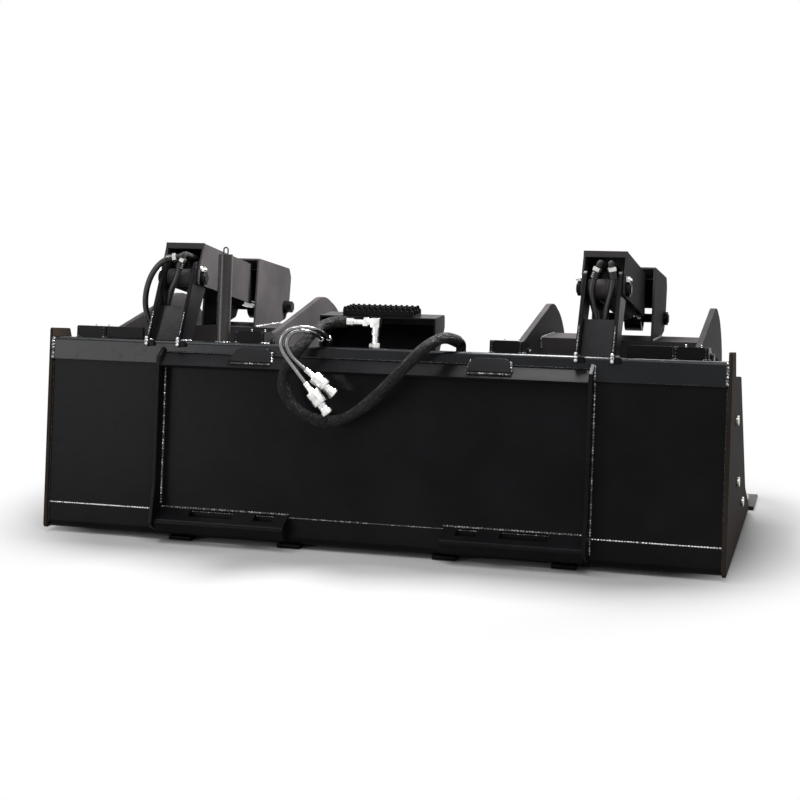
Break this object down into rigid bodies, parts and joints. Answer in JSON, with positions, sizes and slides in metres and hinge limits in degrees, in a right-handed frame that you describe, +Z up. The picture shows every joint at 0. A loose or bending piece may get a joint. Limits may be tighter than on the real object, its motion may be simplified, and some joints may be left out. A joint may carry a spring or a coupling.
{
  "type": "grapple bucket",
  "caption": "Skid-steer grapple bucket with a universal quick-attach back, bolt-on cutting edge and independently hinged hydraulic claws.",
  "frame": {"origin": "centre of the footprint at ground level", "axes": "+X across the bucket to the right seen from behind, +Y out of its mouth, +Z up"},
  "size_m": [1.852, 1.052, 0.7805],
  "materials": {
    "black_paint": "satin black powder coat",
    "edge_steel": "satin black paint over hard steel",
    "zinc_steel": "zinc plated",
    "chrome_rod": "polished hard chrome",
    "bare_steel": "machined",
    "hose_rubber": "smooth black rubber",
    "woven_sleeve": "woven nylon sleeve"
  },
  "bodies": {
    "bucket": {"attach_flange_left": "black_paint", "attach_flange_right": "black_paint", "attach_lip": "black_paint", "back_plate": "black_paint", "base_pins": "zinc_steel", "coupler_a": "zinc_steel", "coupler_b": "zinc_steel", "cross_lines": "zinc_steel", "cutting_edge": "edge_steel", "cylinder_hose_left_a": "hose_rubber", "cylinder_hose_left_b": "hose_rubber", "cylinder_hose_right_a": "hose_rubber", "cylinder_hose_right_b": "hose_rubber", "deck_adapters": "zinc_steel", "edge_bolts": "zinc_steel", "floor_plate": "black_paint", "hinge_forks_left": "black_paint", "hinge_forks_right": "black_paint", "hose_bulkheads": "zinc_steel", "hose_elbow": "zinc_steel", "hose_post": "black_paint", "hose_sleeve": "woven_sleeve", "ledge_gussets": "black_paint", "ledge_left": "black_paint", "ledge_right": "black_paint", "lip_gussets": "black_paint", "pivot_pins": "zinc_steel", "rail_bars": "black_paint", "side_bolts": "zinc_steel", "side_plate_left": "black_paint", "side_plate_right": "black_paint", "step_box": "black_paint", "step_tread": "black_paint", "supply_hose_a": "hose_rubber", "supply_hose_b": "hose_rubber", "top_rail": "black_paint", "tower_left": "black_paint", "tower_right": "black_paint", "tower_webs": "black_paint", "wear_skids": "black_paint"},
    "grapple_left": {"tine_outer_left": "black_paint", "tine_inner_left": "black_paint", "cross_plate_left": "black_paint", "arm_guard_left": "black_paint", "rod_pin_left": "zinc_steel"},
    "cylinder_left": {"barrel_left": "black_paint", "gland_left": "bare_steel", "cylinder_guard_left": "black_paint"},
    "ram_left": {"rod_left": "chrome_rod", "piston_left": "bare_steel"},
    "grapple_right": {"tine_outer_right": "black_paint", "tine_inner_right": "black_paint", "cross_plate_right": "black_paint", "arm_guard_right": "black_paint", "rod_pin_right": "zinc_steel"},
    "cylinder_right": {"barrel_right": "black_paint", "gland_right": "bare_steel", "cylinder_guard_right": "black_paint"},
    "ram_right": {"rod_right": "chrome_rod", "piston_right": "bare_steel"}
  },
  "joints": [
    {"name": "grapple_left_hinge", "type": "hinge", "parent": "bucket", "child": "grapple_left", "pos_m": [-0.579, -0.29915, 0.51197], "axis": [1, 0, 0], "range_deg": [0, 45]},
    {"name": "cylinder_left_hinge", "type": "hinge", "parent": "bucket", "child": "cylinder_left", "pos_m": [-0.579, -0.26811, 0.68499], "axis": [1, 0, 0], "range_deg": [0, 50], "deforming": ["cylinder_hose_left_a", "cylinder_hose_left_b"]},
    {"name": "ram_left_slide", "type": "slide", "parent": "cylinder_left", "child": "ram_left", "axis": [0, 0.9728, -0.2315], "range_m": [-0.127, 0]},
    {"name": "grapple_right_hinge", "type": "hinge", "parent": "bucket", "child": "grapple_right", "pos_m": [0.579, -0.29915, 0.51197], "axis": [1, 0, 0], "range_deg": [0, 45]},
    {"name": "cylinder_right_hinge", "type": "hinge", "parent": "bucket", "child": "cylinder_right", "pos_m": [0.579, -0.26811, 0.68499], "axis": [1, 0, 0], "range_deg": [0, 50], "deforming": ["cylinder_hose_right_a", "cylinder_hose_right_b"]},
    {"name": "ram_right_slide", "type": "slide", "parent": "cylinder_right", "child": "ram_right", "axis": [0, 0.9728, -0.2315], "range_m": [-0.127, 0]}
  ],
  "couplings": [
    {"joint": "cylinder_left_hinge", "follows": "grapple_left_hinge", "ratio": 1.1},
    {"joint": "ram_left_slide", "follows": "grapple_left_hinge", "m_per_rad": -0.16},
    {"joint": "cylinder_right_hinge", "follows": "grapple_right_hinge", "ratio": 1.1},
    {"joint": "ram_right_slide", "follows": "grapple_right_hinge", "m_per_rad": -0.16}
  ]
}
